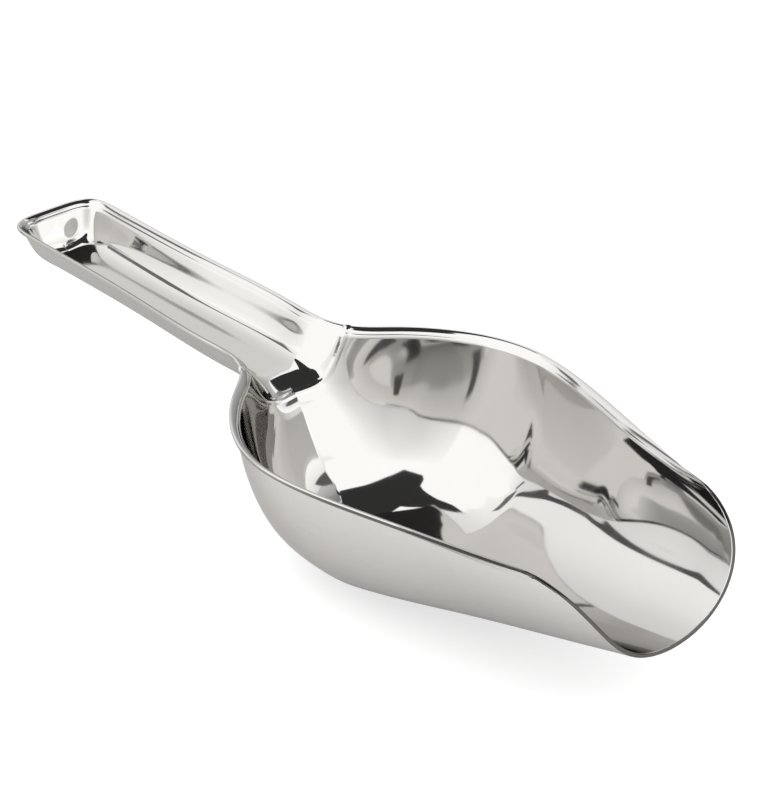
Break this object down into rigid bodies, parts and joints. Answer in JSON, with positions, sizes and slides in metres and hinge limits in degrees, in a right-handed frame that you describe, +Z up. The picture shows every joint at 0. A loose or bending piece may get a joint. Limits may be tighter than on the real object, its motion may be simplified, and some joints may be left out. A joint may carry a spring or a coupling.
{
  "type": "ice scoop",
  "caption": "Polished stainless bar ice scoop: a deep pressed bowl open at the front, with a turned lip, welded to a straight channel handle.",
  "frame": {"origin": "centre of the footprint, on the surface that the bowl's flat underside rests on", "axes": "+X along the scoop from the handle to the mouth, +Y to the left as seen from the handle, +Z up, square to the rim"},
  "size_m": [0.2156, 0.081, 0.0376],
  "materials": {
    "steel_sheet": "mirror polished inside, fine satin outside",
    "weld_steel": "ground and buffed weld"
  },
  "bodies": {
    "root": {"bowl": "steel_sheet", "handle": "steel_sheet", "weld_seam": "weld_steel"}
  },
  "joints": []
}
